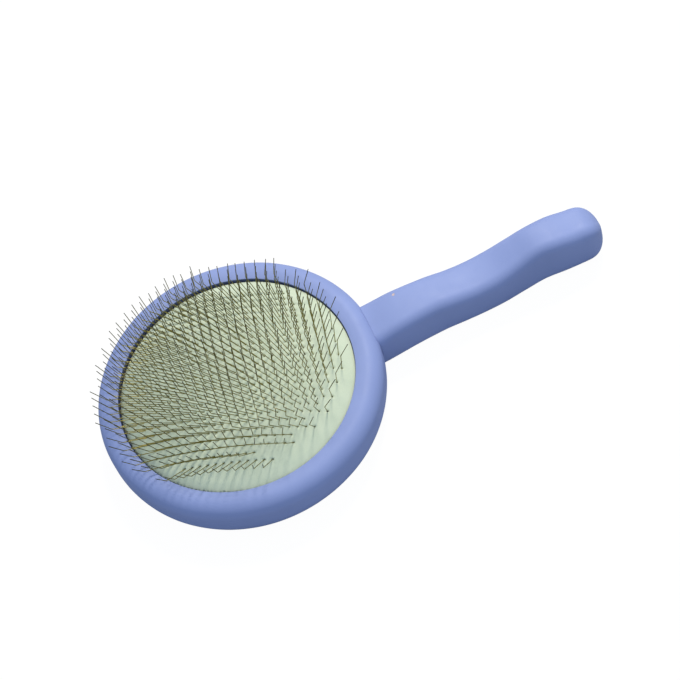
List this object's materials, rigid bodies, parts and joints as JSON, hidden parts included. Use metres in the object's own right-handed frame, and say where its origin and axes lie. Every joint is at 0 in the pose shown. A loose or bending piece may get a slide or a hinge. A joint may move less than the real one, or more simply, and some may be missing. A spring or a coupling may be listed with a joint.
{
  "type": "slicker brush",
  "caption": "Round-headed slicker brush for pet grooming: painted wooden head and wavy handle, domed rubber pad with rows of fine bent steel wires.",
  "frame": {"origin": "centre of the head's flat back", "axes": "+Z from the back out through the pad, along the pins; +X from the head's centre towards the handle's end; +Y across the handle"},
  "size_m": [0.2429, 0.1304, 0.0474],
  "materials": {
    "paint": "satin paint on turned hardwood",
    "handle_paint": "satin paint on shaped hardwood",
    "bare_wood": "bare dowel",
    "board": "bare fibreboard",
    "foam": "open-cell foam",
    "rubber": "matte soft rubber",
    "cloth": "woven laminated cloth",
    "wire": "drawn wire, browned by reflections"
  },
  "bodies": {
    "head": {"head": "paint", "handle": "handle_paint", "handle_dowel": "bare_wood", "backing_board": "board", "cushion_foam": "foam"},
    "pad": {"pad_face": "rubber", "foundation_cloth": "cloth"},
    "row_01": {"pin_row_01": "wire"},
    "row_02": {"pin_row_02": "wire"},
    "row_03": {"pin_row_03": "wire"},
    "row_04": {"pin_row_04": "wire"},
    "row_05": {"pin_row_05": "wire"},
    "row_06": {"pin_row_06": "wire"},
    "row_07": {"pin_row_07": "wire"},
    "row_08": {"pin_row_08": "wire"},
    "row_09": {"pin_row_09": "wire"},
    "row_10": {"pin_row_10": "wire"},
    "row_11": {"pin_row_11": "wire"},
    "row_12": {"pin_row_12": "wire"},
    "row_13": {"pin_row_13": "wire"},
    "row_14": {"pin_row_14": "wire"},
    "row_15": {"pin_row_15": "wire"},
    "row_16": {"pin_row_16": "wire"},
    "row_17": {"pin_row_17": "wire"},
    "row_18": {"pin_row_18": "wire"},
    "row_19": {"pin_row_19": "wire"},
    "row_20": {"pin_row_20": "wire"},
    "row_21": {"pin_row_21": "wire"},
    "row_22": {"pin_row_22": "wire"},
    "row_23": {"pin_row_23": "wire"},
    "row_24": {"pin_row_24": "wire"},
    "row_25": {"pin_row_25": "wire"},
    "row_26": {"pin_row_26": "wire"},
    "row_27": {"pin_row_27": "wire"},
    "row_28": {"pin_row_28": "wire"}
  },
  "joints": [
    {"name": "pad_press", "type": "slide", "parent": "head", "child": "pad", "axis": [0, 0, -1], "range_m": [0, 0.0015], "stiffness_N_per_m": 8000, "deforming": ["cushion_foam"]},
    {"name": "row_01_rock", "type": "hinge", "parent": "pad", "child": "row_01", "pos_m": [-0.04704, 0.00914, 0.02559], "axis": [0.1908, 0.9816, 0], "range_deg": [-5, 5], "stiffness_Nm_per_rad": 0.02},
    {"name": "row_02_rock", "type": "hinge", "parent": "pad", "child": "row_02", "pos_m": [-0.04358, 0.00847, 0.0262], "axis": [0.1908, 0.9816, 0], "range_deg": [-5, 5], "stiffness_Nm_per_rad": 0.02},
    {"name": "row_03_rock", "type": "hinge", "parent": "pad", "child": "row_03", "pos_m": [-0.04011, 0.0078, 0.02658], "axis": [0.1908, 0.9816, 0], "range_deg": [-5, 5], "stiffness_Nm_per_rad": 0.02},
    {"name": "row_04_rock", "type": "hinge", "parent": "pad", "child": "row_04", "pos_m": [-0.03665, 0.00712, 0.02705], "axis": [0.1908, 0.9816, 0], "range_deg": [-5, 5], "stiffness_Nm_per_rad": 0.02},
    {"name": "row_05_rock", "type": "hinge", "parent": "pad", "child": "row_05", "pos_m": [-0.03318, 0.00645, 0.02768], "axis": [0.1908, 0.9816, 0], "range_deg": [-5, 5], "stiffness_Nm_per_rad": 0.02},
    {"name": "row_06_rock", "type": "hinge", "parent": "pad", "child": "row_06", "pos_m": [-0.02972, 0.00578, 0.02797], "axis": [0.1908, 0.9816, 0], "range_deg": [-5, 5], "stiffness_Nm_per_rad": 0.02},
    {"name": "row_07_rock", "type": "hinge", "parent": "pad", "child": "row_07", "pos_m": [-0.02625, 0.0051, 0.02825], "axis": [0.1908, 0.9816, 0], "range_deg": [-5, 5], "stiffness_Nm_per_rad": 0.02},
    {"name": "row_08_rock", "type": "hinge", "parent": "pad", "child": "row_08", "pos_m": [-0.02279, 0.00443, 0.02835], "axis": [0.1908, 0.9816, 0], "range_deg": [-5, 5], "stiffness_Nm_per_rad": 0.02},
    {"name": "row_09_rock", "type": "hinge", "parent": "pad", "child": "row_09", "pos_m": [-0.01932, 0.00376, 0.02874], "axis": [0.1908, 0.9816, 0], "range_deg": [-5, 5], "stiffness_Nm_per_rad": 0.02},
    {"name": "row_10_rock", "type": "hinge", "parent": "pad", "child": "row_10", "pos_m": [-0.01586, 0.00308, 0.02883], "axis": [0.1908, 0.9816, 0], "range_deg": [-5, 5], "stiffness_Nm_per_rad": 0.02},
    {"name": "row_11_rock", "type": "hinge", "parent": "pad", "child": "row_11", "pos_m": [-0.01239, 0.00241, 0.02916], "axis": [0.1908, 0.9816, 0], "range_deg": [-5, 5], "stiffness_Nm_per_rad": 0.02},
    {"name": "row_12_rock", "type": "hinge", "parent": "pad", "child": "row_12", "pos_m": [-0.00893, 0.00174, 0.02897], "axis": [0.1908, 0.9816, 0], "range_deg": [-5, 5], "stiffness_Nm_per_rad": 0.02},
    {"name": "row_13_rock", "type": "hinge", "parent": "pad", "child": "row_13", "pos_m": [-0.00546, 0.00106, 0.02923], "axis": [0.1908, 0.9816, 0], "range_deg": [-5, 5], "stiffness_Nm_per_rad": 0.02},
    {"name": "row_14_rock", "type": "hinge", "parent": "pad", "child": "row_14", "pos_m": [-0.002, 0.00039, 0.02942], "axis": [0.1908, 0.9816, 0], "range_deg": [-5, 5], "stiffness_Nm_per_rad": 0.02},
    {"name": "row_15_rock", "type": "hinge", "parent": "pad", "child": "row_15", "pos_m": [0.00147, -0.00029, 0.02895], "axis": [0.1908, 0.9816, 0], "range_deg": [-5, 5], "stiffness_Nm_per_rad": 0.02},
    {"name": "row_16_rock", "type": "hinge", "parent": "pad", "child": "row_16", "pos_m": [0.00493, -0.00096, 0.02901], "axis": [0.1908, 0.9816, 0], "range_deg": [-5, 5], "stiffness_Nm_per_rad": 0.02},
    {"name": "row_17_rock", "type": "hinge", "parent": "pad", "child": "row_17", "pos_m": [0.0084, -0.00163, 0.029], "axis": [0.1908, 0.9816, 0], "range_deg": [-5, 5], "stiffness_Nm_per_rad": 0.02},
    {"name": "row_18_rock", "type": "hinge", "parent": "pad", "child": "row_18", "pos_m": [0.01186, -0.00231, 0.02891], "axis": [0.1908, 0.9816, 0], "range_deg": [-5, 5], "stiffness_Nm_per_rad": 0.02},
    {"name": "row_19_rock", "type": "hinge", "parent": "pad", "child": "row_19", "pos_m": [0.01533, -0.00298, 0.02876], "axis": [0.1908, 0.9816, 0], "range_deg": [-5, 5], "stiffness_Nm_per_rad": 0.02},
    {"name": "row_20_rock", "type": "hinge", "parent": "pad", "child": "row_20", "pos_m": [0.01879, -0.00365, 0.02852], "axis": [0.1908, 0.9816, 0], "range_deg": [-5, 5], "stiffness_Nm_per_rad": 0.02},
    {"name": "row_21_rock", "type": "hinge", "parent": "pad", "child": "row_21", "pos_m": [0.02226, -0.00433, 0.02869], "axis": [0.1908, 0.9816, 0], "range_deg": [-5, 5], "stiffness_Nm_per_rad": 0.02},
    {"name": "row_22_rock", "type": "hinge", "parent": "pad", "child": "row_22", "pos_m": [0.02572, -0.005, 0.02834], "axis": [0.1908, 0.9816, 0], "range_deg": [-5, 5], "stiffness_Nm_per_rad": 0.02},
    {"name": "row_23_rock", "type": "hinge", "parent": "pad", "child": "row_23", "pos_m": [0.02919, -0.00567, 0.02783], "axis": [0.1908, 0.9816, 0], "range_deg": [-5, 5], "stiffness_Nm_per_rad": 0.02},
    {"name": "row_24_rock", "type": "hinge", "parent": "pad", "child": "row_24", "pos_m": [0.03265, -0.00635, 0.02755], "axis": [0.1908, 0.9816, 0], "range_deg": [-5, 5], "stiffness_Nm_per_rad": 0.02},
    {"name": "row_25_rock", "type": "hinge", "parent": "pad", "child": "row_25", "pos_m": [0.03612, -0.00702, 0.0271], "axis": [0.1908, 0.9816, 0], "range_deg": [-5, 5], "stiffness_Nm_per_rad": 0.02},
    {"name": "row_26_rock", "type": "hinge", "parent": "pad", "child": "row_26", "pos_m": [0.03958, -0.00769, 0.0265], "axis": [0.1908, 0.9816, 0], "range_deg": [-5, 5], "stiffness_Nm_per_rad": 0.02},
    {"name": "row_27_rock", "type": "hinge", "parent": "pad", "child": "row_27", "pos_m": [0.04305, -0.00837, 0.02608], "axis": [0.1908, 0.9816, 0], "range_deg": [-5, 5], "stiffness_Nm_per_rad": 0.02},
    {"name": "row_28_rock", "type": "hinge", "parent": "pad", "child": "row_28", "pos_m": [0.04651, -0.00904, 0.02556], "axis": [0.1908, 0.9816, 0], "range_deg": [-5, 5], "stiffness_Nm_per_rad": 0.02}
  ]
}
